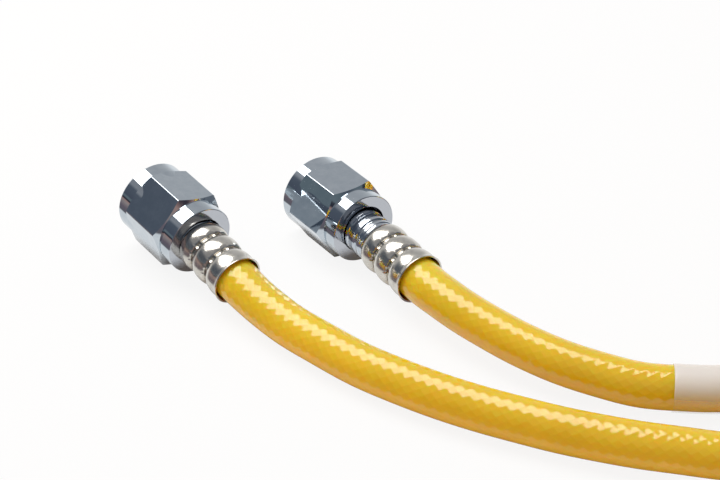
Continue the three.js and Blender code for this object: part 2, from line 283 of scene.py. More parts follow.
coil_rings = int((HOSE_LENGTH - 2 * SEEN) / COIL_STEP)
stations = np.concatenate([
    np.arange(0, FITTED, FITTED_STEP),
    np.arange(FITTED, SEEN, SEEN_STEP),
    np.linspace(SEEN, HOSE_LENGTH - SEEN, coil_rings, endpoint=False),
    HOSE_LENGTH - np.arange(SEEN, FITTED, -SEEN_STEP),
    HOSE_LENGTH - np.arange(FITTED, 0, -FITTED_STEP),
    [HOSE_LENGTH],
])
bore = np.linspace(BORE_DEPTH, 0, BORE_RINGS)
bore_radius = np.full(BORE_RINGS, HOSE_BORE_R)
walk = np.concatenate([bore, stations, HOSE_LENGTH - bore[::-1]])
walk_radius = np.concatenate([bore_radius, hose_radius(stations), bore_radius])
centre = at_distance(hose_line, hose_along, stations)
sides, ups = frames_along(centre)
frame_index = np.concatenate([
    np.searchsorted(stations, bore), np.arange(len(stations)),
    np.clip(np.searchsorted(stations, HOSE_LENGTH - bore[::-1]), 0, len(stations) - 1),
])
middles = at_distance(hose_line, hose_along, walk)
angles = np.linspace(0, 2 * math.pi, HOSE_COLUMNS, endpoint=False)
hose_rings = [
    (m + r * (np.outer(np.cos(angles), sides[i]) + np.outer(np.sin(angles), ups[i]))) * MM
    for m, r, i in zip(middles, walk_radius, frame_index)
]
hose = tube("air_hose", hose_rings, walk, HOSE_COLUMNS)
print("hose faces:", len(hose.data.polygons))

# %% [markdown]
# ## Selecting
# Modelling operators work on what is selected and active, so every step first selects its own
# piece and nothing else.

# %% Select and apply


def nothing_selected():
    if bpy.context.object and bpy.context.object.mode != "OBJECT":
        bpy.ops.object.mode_set(mode="OBJECT")
    bpy.ops.object.select_all(action="DESELECT")


def select_only(piece):
    nothing_selected()
    piece.select_set(True)
    bpy.context.view_layer.objects.active = piece


def apply_all(piece):
    """Applies the piece's modifiers, in their order."""
    select_only(piece)
    for modifier in list(piece.modifiers):
        bpy.ops.object.modifier_apply(modifier=modifier.name)


# %% [markdown]
# ## The label sleeve
# Near the far end a strip of frosted film is rolled round the hose to carry a label. The roll
# overlaps itself a little, which shows as a step, and it is wider than the hose, so it hangs
# a touch lower. A flat grid is rolled up, then given its thickness.

# %% Label sleeve
SLEEVE_FROM, SLEEVE_TO = 82.0, 117.0
SLEEVE_FIRST_R, SLEEVE_LAST_R = 6.62, 6.95
SLEEVE_FIRST_ANGLE, SLEEVE_LAST_ANGLE = -118, 268
SLEEVE_SAG = 0.25
FILM_WALL = 0.11
SLEEVE_ROWS, SLEEVE_COLUMNS = 48, 90
far_line = catmull_rom(FAR_ROUTE) + np.array(ROW_SHIFT)
far_along = distances(far_line)


def rolled_film(name):
    steps = np.linspace(SLEEVE_FROM, SLEEVE_TO, SLEEVE_ROWS)
    middle = at_distance(far_line, far_along, steps)
    side, up = frames_along(middle)
    degrees = np.linspace(SLEEVE_FIRST_ANGLE, SLEEVE_LAST_ANGLE, SLEEVE_COLUMNS)
    radius = np.linspace(SLEEVE_FIRST_R, SLEEVE_LAST_R, SLEEVE_COLUMNS)
    sag = np.array((0, 0, SLEEVE_SAG))
    points, faces, uvs = [], [], []
    for m, s, u in zip(middle, side, up):
        for a, r in zip(np.radians(degrees), radius):
            points.append((m + s * r * math.cos(a) + u * r * math.sin(a) - sag) * MM)
    for i in range(SLEEVE_ROWS - 1):
        for j in range(SLEEVE_COLUMNS - 1):
            a = i * SLEEVE_COLUMNS + j
            faces.append((a, a + 1, a + 1 + SLEEVE_COLUMNS, a + SLEEVE_COLUMNS))
            u0, u1, v0, v1 = steps[i], steps[i + 1], degrees[j] / 360, degrees[j + 1] / 360
            uvs += [(u0, v0), (u0, v1), (u1, v1), (u1, v0)]
    piece = mesh_piece(name, points, faces, uvs)
    wall = piece.modifiers.new("wall", "SOLIDIFY")
    wall.thickness = FILM_WALL * MM
    wall.offset = 1.0
    apply_all(piece)
    return piece


sleeve = rolled_film("label_film")
print("film faces:", len(sleeve.data.polygons))

# %% [markdown]
# ## Turned parts
# Nuts, nipples and ferrules are made on a lathe, so they are modelled as on one. A profile is
# drawn beside the X axis, point by point, by extruding a single vertex. Spin then carries it
# once round. Everything is in millimetres until the piece is placed.

# %% Draw and turn
WELD = 0.0005
TURNED_STEPS = 96


def edit(piece, chosen):
    """Goes into edit mode with only those points selected that chosen(place) picks."""
    select_only(piece)
    bpy.ops.object.mode_set(mode="EDIT")
    bpy.ops.mesh.select_mode(type="VERT")
    bpy.ops.mesh.select_all(action="DESELECT")
    bpy.ops.object.mode_set(mode="OBJECT")
    for vertex in piece.data.vertices:
        vertex.select = bool(chosen(vertex.co))
    bpy.ops.object.mode_set(mode="EDIT")


def edit_edges(piece, chosen):
    """The same for edges: chosen(start, end) picks them."""
    edit(piece, lambda place_on_piece: False)
    bpy.ops.mesh.select_mode(type="EDGE")
    bpy.ops.object.mode_set(mode="OBJECT")
    points = piece.data.vertices
    for edge in piece.data.edges:
        edge.select = bool(chosen(*(points[i].co for i in edge.vertices)))
    bpy.ops.object.mode_set(mode="EDIT")


def outline(name, points):
    """A line through the points, drawn by extruding one vertex. It stays in edit mode."""
    nothing_selected()
    bpy.ops.mesh.primitive_plane_add(size=0.01, location=(points[0][0], points[0][1], 0))
    piece = bpy.context.object
    piece.name = piece.data.name = name
    bpy.ops.object.transform_apply(location=True)
    bpy.ops.object.mode_set(mode="EDIT")
    bpy.ops.mesh.select_mode(type="VERT")
    bpy.ops.mesh.merge(type="CENTER")
    for (x0, r0), (x1, r1) in zip(points, points[1:]):
        bpy.ops.mesh.extrude_region_move(TRANSFORM_OT_translate={"value": (x1 - x0, r1 - r0, 0)})
    bpy.ops.mesh.select_all(action="SELECT")
    bpy.ops.mesh.remove_doubles(threshold=WELD)
    return piece


def lathe(name, profile, steps=TURNED_STEPS, closed=False):
    """profile is a list of (distance, radius). A closed one is a ring's section."""
    piece = outline(name, list(profile) + ([profile[0]] if closed else []))
    bpy.ops.mesh.spin(steps=steps, angle=2 * math.pi, center=(0, 0, 0), axis=(1, 0, 0))
    bpy.ops.mesh.select_all(action="SELECT")
    bpy.ops.mesh.remove_doubles(threshold=WELD)
    bpy.ops.mesh.normals_make_consistent(inside=False)
    bpy.ops.object.mode_set(mode="OBJECT")
    return piece


def combine(piece, other, operation):
    """INTERSECT, UNION or DIFFERENCE of two pieces. The other piece is used up."""
    cut = piece.modifiers.new(operation.lower(), "BOOLEAN")
    cut.operation = operation
    cut.solver = "EXACT"
    cut.object = other
    apply_all(piece)
    bpy.data.objects.remove(other)


def break_edges(piece, width, over_angle):
    """Takes a little off every edge that turns by more than over_angle degrees."""
    edge = piece.modifiers.new("edge", "BEVEL")
    edge.width = width
    edge.segments = 2
    edge.limit_method = "ANGLE"
    edge.angle_limit = math.radians(over_angle)
    edge.use_clamp_overlap = True
    apply_all(piece)


# %% [markdown]
# ### Placing a finished piece
# A finished piece keeps its object at the origin, so its place goes into its mesh. Before
# that, each point's place on the piece itself is written to an attribute named "on_piece".
# Materials read it, so turning marks stay centred on a nut wherever the nut lies. Faces that
# were faced or milled flat are also shaded flat. Otherwise the light would bend over them
# towards their broken edges, and a mirror shows that at once. Both ends of the hose have the
# same parts, so each part is modelled once and pair() places a copy of it at each end.

# %% Place a piece


def machined_flat(normal):
    """True for a face square to the axis and for one of the hexagon's flats."""
    turned = math.degrees(math.atan2(normal.z, normal.y)) % 60
    return abs(normal.x) > 0.9995 or (abs(normal.x) < 0.002 and abs(turned - 30) < 0.6)


def place(piece, where, smooth_angle=40, machined=False):
    select_only(piece)
    bpy.ops.object.shade_smooth_by_angle(angle=math.radians(smooth_angle))
    mesh = piece.data
    if machined:
        for face in mesh.polygons:
            face.use_smooth = not machined_flat(face.normal)
    local = np.zeros(len(mesh.vertices) * 3, np.float32)
    mesh.vertices.foreach_get("co", local)
    attribute = mesh.attributes.new("on_piece", "FLOAT_VECTOR", "POINT")
    attribute.data.foreach_set("vector", local)
    piece.matrix_world = where
    bpy.ops.object.transform_apply(location=True, rotation=True, scale=True)
    print(piece.name, len(mesh.polygons), "faces")
    return piece


def pair(model, ending, where, **how):
    """Places a copy of the model at each end of the hose. The model is used up."""
    placed = {}
    for side, pose_here in where.items():
        piece = model.copy()
        piece.data = model.data.copy()
        piece.name = piece.data.name = f"{side}_{ending}"
        bpy.context.scene.collection.objects.link(piece)
        placed[side] = place(piece, pose_here, **how)
    bpy.data.objects.remove(model)
    return placed


# %% [markdown]
# ## The hex nut
# A nut starts as round bar with chamfered shoulders. Milling six flats leaves a hexagon in
# its middle: that is an intersection with a hexagonal bar. The round skirt in front is turned
# wider than the flats, so it stands a little proud of them. Then the inside is bored. Edges
# are broken where they are made, in the profile and on the bar, because a bevel round the
# whole nut would be held to nothing by the thin slivers where its surfaces meet.

# %% Hex nut
NUT_LENGTH, NUT_FLATS = 26.6, 23.0
COLLAR_R, COLLAR_LENGTH = 11.05, 5.4
COLLAR_EDGE, COLLAR_EDGE_BEND = 0.24, 0.08
SKIRT_R, SKIRT_START = 11.8, 21.7
SKIRT_RAMP = 3.6
MOUTH_EDGE, MOUTH_EDGE_BEND = 0.3, 0.1
HEX_CORNER_REAR, HEX_CORNER_FRONT = 6.4, 20.8
HEX_CORNER_ROUND = 0.3
NUT_CORNER_R = NUT_FLATS / 2 / math.cos(math.pi / 6)
# The turned blank reaches a little past the bar's corners, so that the bar gives them.
CORNER_ROOM = 0.02
BAR_LENGTH, BAR_MIDDLE = 24, 11
REAR_BORE_R, REAR_BORE_CHAMFER = 7.46, 0.3
NUT_SHOULDER = 7.0
RELIEF_R, RELIEF_END = 9.7, 9.2
THREAD_ROOT_R = 9.5
MOUTH_CHAMFER = 0.7
# A cutter starts and ends this far outside of what it cuts.
PAST = 1


def hex_nut(name):
    corner_r = NUT_CORNER_R + CORNER_ROOM
    blank_end = SKIRT_START + 0.3
    blank = lathe(name, [
        (0, 0), (0, COLLAR_R - COLLAR_EDGE), (COLLAR_EDGE_BEND, COLLAR_R - COLLAR_EDGE_BEND),
        (COLLAR_EDGE, COLLAR_R), (COLLAR_LENGTH, COLLAR_R), (HEX_CORNER_REAR, corner_r),
        (HEX_CORNER_FRONT, corner_r), (blank_end, SKIRT_R - 0.5), (blank_end, 0)])
    nothing_selected()
    bpy.ops.mesh.primitive_cylinder_add(
        vertices=6, radius=NUT_CORNER_R, depth=BAR_LENGTH,
        location=(BAR_MIDDLE, 0, 0), rotation=(0, math.pi / 2, 0))
    bar = bpy.context.object
    bpy.ops.object.transform_apply(location=True, rotation=True)
    edit_edges(bar, lambda start, end: abs(start.x - end.x) > 1)
    bpy.ops.mesh.bevel(offset=HEX_CORNER_ROUND, segments=4)
    bpy.ops.object.mode_set(mode="OBJECT")
    combine(blank, bar, "INTERSECT")
    ramp_start = SKIRT_START - SKIRT_RAMP
    skirt = lathe("skirt", [
        (ramp_start, 0), (ramp_start, NUT_FLATS / 2 - 0.1), (SKIRT_START, SKIRT_R),
        (NUT_LENGTH - MOUTH_EDGE, SKIRT_R),
        (NUT_LENGTH - MOUTH_EDGE_BEND, SKIRT_R - MOUTH_EDGE_BEND),
        (NUT_LENGTH, SKIRT_R - MOUTH_EDGE), (NUT_LENGTH, 0)])
    combine(blank, skirt, "UNION")
    mouth_r = THREAD_ROOT_R + MOUTH_CHAMFER
    bore = lathe("bore", [
        (-PAST, 0), (-PAST, REAR_BORE_R + REAR_BORE_CHAMFER), (REAR_BORE_CHAMFER, REAR_BORE_R),
        (NUT_SHOULDER, REAR_BORE_R), (NUT_SHOULDER, RELIEF_R), (RELIEF_END, RELIEF_R),
        (RELIEF_END + 0.2, THREAD_ROOT_R), (NUT_LENGTH - MOUTH_CHAMFER, THREAD_ROOT_R),
        (NUT_LENGTH, mouth_r), (NUT_LENGTH + PAST, mouth_r), (NUT_LENGTH + PAST, 0)])
    combine(blank, bore, "DIFFERENCE")
    return blank


# %% [markdown]
# ### Its thread
# A thread is one ridge wound like a spring. The Screw modifier winds a small section round
# the axis while it moves along it. The ridge's foot is sunk into the wall.

# %% Thread in the nut's mouth
THREAD_PITCH = 1.5875
THREAD_START, THREAD_TURNS = 10.0, 9.4
THREAD_STEPS = 48
RIDGE_FOOT_R, RIDGE_TOP_R = 9.62, 8.84
RIDGE_FLANK, RIDGE_TOP = 0.52, 0.2


def thread_ridge(name):
    rear, front = THREAD_START - RIDGE_FLANK, THREAD_START + RIDGE_TOP + RIDGE_FLANK
    ridge = outline(name, [
        (rear, RIDGE_FOOT_R), (THREAD_START, RIDGE_TOP_R),
        (THREAD_START + RIDGE_TOP, RIDGE_TOP_R), (front, RIDGE_FOOT_R), (rear, RIDGE_FOOT_R)])
    bpy.ops.object.mode_set(mode="OBJECT")
    wind = ridge.modifiers.new("wind", "SCREW")
    wind.axis = "X"
    wind.angle = 2 * math.pi * THREAD_TURNS
    wind.screw_offset = THREAD_PITCH * THREAD_TURNS
    wind.steps = wind.render_steps = int(THREAD_STEPS * THREAD_TURNS)
    wind.use_merge_vertices = False
    apply_all(ridge)
    bpy.ops.object.mode_set(mode="EDIT")
    bpy.ops.mesh.select_all(action="DESELECT")
    bpy.ops.mesh.select_non_manifold()
    bpy.ops.mesh.fill()
    bpy.ops.mesh.select_all(action="SELECT")
    bpy.ops.mesh.normals_make_consistent(inside=False)
    bpy.ops.object.mode_set(mode="OBJECT")
    return ridge


def join(piece, other):
    select_only(piece)
    other.select_set(True)
    bpy.ops.object.join()
    return piece


nut_model = join(hex_nut("nut_model"), thread_ridge("ridge"))
nuts = pair(nut_model, "nut_chromed", NUT, smooth_angle=5.5, machined=True)

# %% [markdown]
# ## The nipple
# The nipple is turned from one bar. Its nose seals in the outlet, its flange keeps the nut on,
# its neck has fine rings, and its barbed stem holds the hose. A bore runs through all of it.

# %% Nipple
NIPPLE_BORE_R = 2.4
STEM_R, BARB_R, ROOT_R = 3.1, 3.6, 4.1
NECK_R, NECK_RING_R = 6.9, 6.35
FLANGE_R, NOSE_R = 8.0, 6.2
SEAL_GROOVE_R = 4.9
STEM = [
    (-19.5, NIPPLE_BORE_R), (-19.5, 2.9), (-16.3, BARB_R), (-16.3, STEM_R), (-15.3, STEM_R),
    (-12.1, BARB_R), (-12.1, STEM_R), (-11.1, STEM_R), (-7.9, BARB_R), (-7.9, STEM_R),
    (-1.8, STEM_R), (-1.8, ROOT_R), (0.3, ROOT_R),
]
NECK = [
    (0.3, 6.45), (0.45, 6.6), (1.3, 6.6), (1.5, NECK_R),
    (2.8, NECK_R), (3.05, NECK_RING_R), (3.6, NECK_RING_R), (3.85, NECK_R),
    (6.7, NECK_R), (6.95, NECK_RING_R), (7.55, NECK_RING_R), (7.8, NECK_R), (16.6, NECK_R),
]
FLANGE = [(16.6, 7.85), (16.75, FLANGE_R), (18.9, FLANGE_R), (19.3, 7.6)]
NOSE = [
    (19.3, NOSE_R), (20.9, NOSE_R), (20.9, SEAL_GROOVE_R), (23.3, SEAL_GROOVE_R),
    (23.3, NOSE_R), (24.9, NOSE_R), (25.2, 6.12), (25.45, 5.88), (25.6, 5.5), (25.6, 2.9),
    (25.1, NIPPLE_BORE_R),
]
nipple_model = lathe("nipple_model", STEM + NECK + FLANGE + NOSE, closed=True)
break_edges(nipple_model, 0.05, 50)
nipples = pair(nipple_model, "nipple_turned", FITTING, smooth_angle=20, machined=True)

# %% [markdown]
# ### The seal ring
# A rubber ring sits stretched in the nose's groove, so it is a touch wider than it is thick.

# %% Seal ring
SEAL_MIDDLE = 22.1
SEAL_THICK = 1.7
SEAL_WIDENING = 1.12


def seal_ring(name):
    nothing_selected()
    bpy.ops.mesh.primitive_torus_add(
        major_radius=SEAL_GROOVE_R + SEAL_THICK / 2, minor_radius=SEAL_THICK / 2,
        major_segments=TURNED_STEPS, minor_segments=20,
        location=(SEAL_MIDDLE, 0, 0), rotation=(0, math.pi / 2, 0))
    ring = bpy.context.object
    ring.name = ring.data.name = name
    bpy.ops.object.transform_apply(location=True, rotation=True)
    bpy.ops.object.mode_set(mode="EDIT")
    bpy.ops.mesh.select_all(action="SELECT")
    bpy.ops.transform.resize(
        value=(SEAL_WIDENING, 1, 1), center_override=(SEAL_MIDDLE, 0, 0))
    bpy.ops.object.mode_set(mode="OBJECT")
    return ring


seals = pair(seal_ring("seal_model"), "seal_rubber", FITTING)

# %% [markdown]
# ## The ferrule
# The ferrule is a thin nickel silver cup, pressed onto the hose by a ring of jaws. The jaws
# squeeze two grooves and leave three bulges. Between each two jaws a small ridge of metal
# stays standing in the groove. Those ridges catch the light, so they are modelled.

# %% Ferrule
JAWS = 18
FERRULE_STEPS = JAWS * 10
JAW_STEP = 0.0095
JAW_REACH = 1.5
CRIMPS = (-6.6, -13.9)
CRIMP_FLOOR = 0.5
LAST_BULGE_END = -21.4
FRONT_R, GROOVE_R, BULGE_R, RIM_R = 6.3, 6.62, 7.8, 8.0
OUTSIDE_FROM_R = 6.45


def bulge(start, end, foot_r, top_r, steps=14):
    """A round bulge's outline, with its points closer together where it is steep."""
    middle, half = (start + end) / 2, (start - end) / 2
    rise = top_r - foot_r
    angles = [math.pi * k / steps for k in range(steps + 1)]
    return [(middle + half * math.cos(a), foot_r + rise * math.sin(a) ** 0.85) for a in angles]


# The first bulge starts deeper than it ends, so its halves are taken from two bulges. The
# last one is cut short by the flared mouth.
first_end = CRIMPS[0] + CRIMP_FLOOR
first = bulge(0.0, first_end, FRONT_R, BULGE_R)[:8] + bulge(0.0, first_end, GROOVE_R, BULGE_R)[8:]
second = bulge(CRIMPS[0] - CRIMP_FLOOR, CRIMPS[1] + CRIMP_FLOOR, GROOVE_R, BULGE_R)
third = bulge(CRIMPS[1] - CRIMP_FLOOR, LAST_BULGE_END, GROOVE_R, BULGE_R)[:9]
mouth = [(-19.2, 7.74), (-20.0, 7.8), (-20.6, 7.94), (-20.85, RIM_R), (-21.0, 7.9)]
OUTSIDE = (first + second + third + mouth)[::-1]
INSIDE = [
    (0.0, 4.4), (-0.9, 4.4), (-0.9, 6.3), (-3.2, 7.02), (-4.8, 6.75), (-6.6, 6.2), (-8.4, 6.75),
    (-10.2, 7.06), (-12.0, 6.8), (-13.9, 6.2), (-15.8, 6.75), (-18.0, 7.06), (-20.0, 7.2),
    (-20.9, 7.5),
]
ferrule_model = lathe("ferrule_model", OUTSIDE + INSIDE, FERRULE_STEPS, closed=True)


def jaw_mark(place_on_piece):
    """How far the jaws move a point of the outside, from -1 (pressed in) to 5 (left standing)."""
    x, y, z = place_on_piece
    depth = min(abs(x - crimp) for crimp in CRIMPS)
    if math.hypot(y, z) < OUTSIDE_FROM_R or depth > JAW_REACH:
        return 0
    phase = math.atan2(z, y) / (2 * math.pi) * JAWS
    ridge = max(0.0, math.cos(2 * math.pi * phase)) ** 2
    fade = 0.5 + 0.5 * math.cos(math.pi * depth / JAW_REACH)
    return round((6 * ridge - 1) * fade)


def press_jaw_marks(piece):
    """Scales each group of points from the axis, the groove's floor in and its ridges out."""
    marks = {vertex.co.copy().freeze(): jaw_mark(vertex.co) for vertex in piece.data.vertices}
    for step in sorted(set(marks.values()) - {0}):
        edit(piece, lambda co: marks.get(co.copy().freeze(), 0) == step)
        size = 1 + JAW_STEP * step
        bpy.ops.transform.resize(value=(1, size, size), center_override=(0, 0, 0))
        bpy.ops.object.mode_set(mode="OBJECT")


press_jaw_marks(ferrule_model)
ferrules = pair(ferrule_model, "ferrule_crimped", FITTING, smooth_angle=50)

# %% [markdown]
# ## The tie round the coil
# A strap of black hook-and-loop tape holds the coil. It begins as a box round the four hoses:
# its two ends are taken off and its corners rounded to the hoses' radius. Solidify makes it
# tape. A second, short strip is the tape's end, pressed onto the first turn.

# %% Tie
TIE_ANGLE = math.pi / 4
TIE_WIDTH = 10.0
TIE_HEIGHT = 14.2
TIE_ROOM = 0.35
TAPE, TAPE_EDGE = 0.8, 0.2
FLAP_LENGTH, FLAP_MIDDLE = 9.5, 1.5
FLAP_GAP, FLAP_CORNER = 0.02, 1.2


def tape(piece):
    wall = piece.modifiers.new("wall", "SOLIDIFY")
    wall.thickness = TAPE
    wall.offset = 1.0
    break_edges(piece, TAPE_EDGE, 30)
    return piece


def strap(name):
    half = 2 * HOSE_R + TIE_ROOM
    nothing_selected()
    bpy.ops.mesh.primitive_cube_add(size=1, scale=(2 * half, 2 * half, TIE_WIDTH))
    loop = bpy.context.object
    loop.name = loop.data.name = name
    bpy.ops.object.transform_apply(scale=True)
    edit_edges(loop, lambda start, end: abs(start.z - end.z) > 1)
    bpy.ops.mesh.bevel(offset=HOSE_R + TIE_ROOM, segments=10)
    bpy.ops.mesh.select_mode(type="FACE")
    bpy.ops.mesh.select_all(action="DESELECT")
    bpy.ops.object.mode_set(mode="OBJECT")
    for face in loop.data.polygons:
        face.select = abs(face.normal.z) > 0.9
    bpy.ops.object.mode_set(mode="EDIT")
    bpy.ops.mesh.delete(type="FACE")
    bpy.ops.object.mode_set(mode="OBJECT")
    tape(loop)
    nothing_selected()
    bpy.ops.mesh.primitive_plane_add(
        size=1, location=(half + TAPE + FLAP_GAP, FLAP_MIDDLE, 0), rotation=(0, math.pi / 2, 0))
    flap = bpy.context.object
    bpy.ops.transform.resize(value=(1, FLAP_LENGTH, TIE_WIDTH - 0.5))
    bpy.ops.object.transform_apply(location=True, rotation=True, scale=True)
    bpy.ops.object.mode_set(mode="EDIT")
    bpy.ops.mesh.select_all(action="SELECT")
    bpy.ops.mesh.bevel(offset=FLAP_CORNER, segments=4, affect="VERTICES")
    bpy.ops.object.mode_set(mode="OBJECT")
    return join(loop, tape(flap))


tie_middle = Vector((COIL_CENTRE[0], COIL_CENTRE[1], TIE_HEIGHT)) + ROW_SHIFT
tie_middle += COIL_MID_R * Vector((math.cos(TIE_ANGLE), math.sin(TIE_ANGLE), 0))
tie_pose = (
    Matrix.Translation(tie_middle * MM) @ Matrix.Rotation(TIE_ANGLE, 4, "Z")
    @ Matrix.Rotation(math.pi / 2, 4, "X") @ Matrix.Scale(MM, 4)
)
tie = place(strap("coil_strap"), tie_pose)

# %% [markdown]
# ## A small kit for materials
# Shader nodes are easier to read as sums. A Wire holds one output, and + - * on Wires add
# Math nodes. Any other node comes from Kit.node, which takes its settings and its inputs. The
# same kit serves the finishes, the room and the table.

# %% Material kit


class Wire:
    def __init__(self, kit, socket):
        self.kit, self.socket = kit, socket

    def math(self, operation, *others):
        return self.kit.sum(operation, self, *others)

    def __add__(self, other):
        return self.kit.sum("ADD", self, other)

    def __sub__(self, other):
        return self.kit.sum("SUBTRACT", self, other)

    def __mul__(self, other):
        return self.kit.sum("MULTIPLY", self, other)

    def __rsub__(self, other):
        return self.kit.sum("SUBTRACT", other, self)

    __radd__ = __add__
    __rmul__ = __mul__


class Kit:
    def __init__(self, owner):
        owner.use_nodes = True
        self.owner, self.tree = owner, owner.node_tree

    def node(self, kind, settings=None, inputs=None, output=0):
        made = self.tree.nodes.new(kind)
        for key, value in (settings or {}).items():
            if key == "stops":
                ramp = made.color_ramp.elements
                while len(ramp) < len(value):
                    ramp.new(0.5)
                for element, (at, colour) in zip(ramp, value):
                    element.position, element.color = at, (*colour, 1.0)
            else:
                setattr(made, key, value)
        for key, value in (inputs or {}).items():
            self.feed(made.inputs[key], value)
        return Wire(self, made.outputs[output]) if made.outputs else None

    def feed(self, socket, value):
        if isinstance(value, Wire):
            self.tree.links.new(value.socket, socket)
        else:
            socket.default_value = value

    def sum(self, operation, *values):
        return self.node("ShaderNodeMath", {"operation": operation}, dict(enumerate(values)))

    def split(self, vector):
        parts = self.node("ShaderNodeSeparateXYZ", {}, {0: vector}).socket.node
        return [Wire(self, socket) for socket in parts.outputs]

    def smooth(self, value, low, high, to_low=0.0, to_high=1.0):
        return self.node("ShaderNodeMapRange", {"interpolation_type": "SMOOTHSTEP"}, {
            0: value, 1: low, 2: high, 3: to_low, 4: to_high})

    def blend(self, factor, first, second):
        return self.node("ShaderNodeMix", {"data_type": "RGBA"}, {
            0: factor, 6: first, 7: second}, output=2)


class Finish(Kit):
    def __init__(self, name):
        super().__init__(bpy.data.materials.new(name))
        self.shader = self.tree.nodes["Principled BSDF"]

    def set(self, **values):
        for key, value in values.items():
            self.feed(self.shader.inputs[key.replace("_", " ")], value)

    def on_piece(self):
        return self.node("ShaderNodeAttribute", {"attribute_name": "on_piece"}, output="Vector")

    def noise(self, vector, scale, detail=2.0, roughness=0.5):
        return self.node("ShaderNodeTexNoise", {}, {
            "Vector": vector, "Scale": scale, "Detail": detail, "Roughness": roughness})

    def stretch(self, vector, scale):
        return self.node("ShaderNodeMapping", {}, {"Vector": vector, "Scale": scale})

    def bump(self, height, strength, distance):
        return self.node("ShaderNodeBump", {}, {
            "Height": height, "Strength": strength, "Distance": distance})


# %% [markdown]
# ## Chrome
# Chrome plating mirrors the studio with a cold, slightly blue tint. It isn't perfect: there is
# a fine haze from handling, the rear face is left satin from the lathe, and a few hair
# scratches cross the flats. The mirror itself needs no painting, only something to reflect.

# %% Chrome


def chrome(name):
    f = Finish(name)
    spot = f.on_piece()
    x, y, z = f.split(spot)
    radius = (y * y + z * z).math("SQRT")
    rear = 1 - f.smooth(x, 0.05, 0.3)
    haze = f.noise(spot, 0.35, 4.0, 0.6)
    specks = f.smooth(f.noise(spot, 4.5, 2.0, 0.6), 0.66, 0.74)
    scratch = f.noise(f.stretch(spot, (0.25, 9.0, 9.0)), 1.0, 3.0, 0.7)
    fine = f.noise(f.stretch(spot, (6.0, 0.6, 0.6)), 1.6, 2.0, 0.6)
    turning = (radius * 14.0 + fine * 2.0).math("SINE")
    tint = f.blend(f.smooth(haze, 0.35, 0.7), (0.54, 0.595, 0.64, 1), (0.6, 0.65, 0.69, 1))
    f.set(Base_Color=f.blend(rear * 0.7, tint, (0.5, 0.5, 0.53, 1)), Metallic=1.0)
    f.set(Roughness=f.smooth(haze, 0.4, 0.8, 0.03, 0.06) + rear * 0.06 + specks * 0.12)
    relief = turning * rear * 0.0006 + scratch * 0.0005 + haze * 0.004
    f.set(Normal=f.bump(relief, 0.6, 0.001))
    return f.owner


# %% [markdown]
# ## Turned and plated brass
# The nipple has the same plating over visible lathe lines, so its neck breaks every
# reflection into thin rings.

# %% Plated neck


def plated_neck(name):
    f = Finish(name)
    spot = f.on_piece()
    x, _, _ = f.split(spot)
    wobble = f.noise(f.stretch(spot, (1.5, 0.5, 0.5)), 1.0, 3.0)
    rings = (x * 21.0 + wobble * 3.0).math("SINE")
    broad = (x * 5.3 + wobble * 2.0).math("SINE")
    tint = f.blend(f.smooth(wobble, 0.3, 0.7), (0.52, 0.57, 0.62, 1), (0.62, 0.65, 0.68, 1))
    f.set(Base_Color=tint, Metallic=1.0, Roughness=f.smooth(wobble, 0.3, 0.8, 0.05, 0.11))
    f.set(Normal=f.bump(rings * 0.004 + broad * 0.012, 0.7, 0.001))
    return f.owner


# %% [markdown]
# ## Nickel silver
# The ferrule is bare nickel silver: warmer than chrome and polished by the drawing die.
# Pressing leaves faint lengthwise lines. The grooves get painted shade: their base colour is made
# darker.

# %% Nickel silver


def nickel_silver(name):
    f = Finish(name)
    spot = f.on_piece()
    _, y, z = f.split(spot)
    radius = (y * y + z * z).math("SQRT")
    # painted shade: the base colour darkens in the grooves, where the radius is small
    groove_shade = 1 - f.smooth(radius, 6.7, 7.4)
    lines = f.noise(f.stretch(spot, (0.35, 3.2, 3.2)), 1.0, 4.0, 0.65)
    cloud = f.noise(spot, 0.5, 3.0)
    tint = f.blend(f.smooth(cloud, 0.3, 0.75), (0.62, 0.585, 0.52, 1), (0.74, 0.705, 0.64, 1))
    f.set(Base_Color=f.blend(groove_shade * 0.35, tint, (0.42, 0.385, 0.33, 1)), Metallic=1.0)
    f.set(Roughness=f.smooth(lines, 0.35, 0.75, 0.17, 0.25))
    f.set(Normal=f.bump(lines * 0.02 + cloud * 0.02, 0.5, 0.001))
    return f.owner


# %% [markdown]
# ## The hose's skin
# A braid of yarn lies under the clear yellow skin of soft plastic and pushes it into rows of
# small cushions, about 3.4 mm apart along the hose and 16 round it. The plastic lets light in,
# and red travels furthest, so the shaded side turns orange. Subsurface scattering does that.

# %% Yellow plastic
BRAID_LENGTH = 3.4
BRAID_ROWS = 16
CUSHION_HEIGHT = 0.042


def yellow_plastic(name):
    f = Finish(name)
    along, around, _ = f.split(f.node("ShaderNodeUVMap", {"uv_map": UV_MAP}))
    object_place = f.node("ShaderNodeTexCoord", output="Object")
    lengthwise = along * (math.pi / BRAID_LENGTH)
    crosswise = around * (math.pi * BRAID_ROWS)
    right, left = lengthwise + crosswise, lengthwise - crosswise
    cushions = right.math("SINE").math("ABSOLUTE") + left.math("SINE").math("ABSOLUTE")
    cloud = f.noise(object_place, 60.0, 3.0)
    grain = f.noise(object_place, 900.0, 2.0)
    f.set(Base_Color=f.blend(
        f.smooth(cloud, 0.3, 0.7), (0.77, 0.56, 0.022, 1), (0.82, 0.61, 0.03, 1)))
    f.set(Roughness=f.smooth(grain, 0.2, 0.8, 0.06, 0.1))
    f.set(Normal=f.bump(cushions * CUSHION_HEIGHT + grain * 0.002, 1.0, 0.001))
    f.set(Subsurface_Weight=1.0, Subsurface_Radius=(1.0, 0.4, 0.1), Subsurface_Scale=0.0045)
    f.set(IOR=1.58)
    return f.owner


# %% [markdown]
# ## Film, rubber and strap
# The film is milky, so the hose shows through it, most of all underneath where it touches.
# Rubber is nearly black with a dull skin. The strap is a short black pile on a woven back.

# %% Frosted film


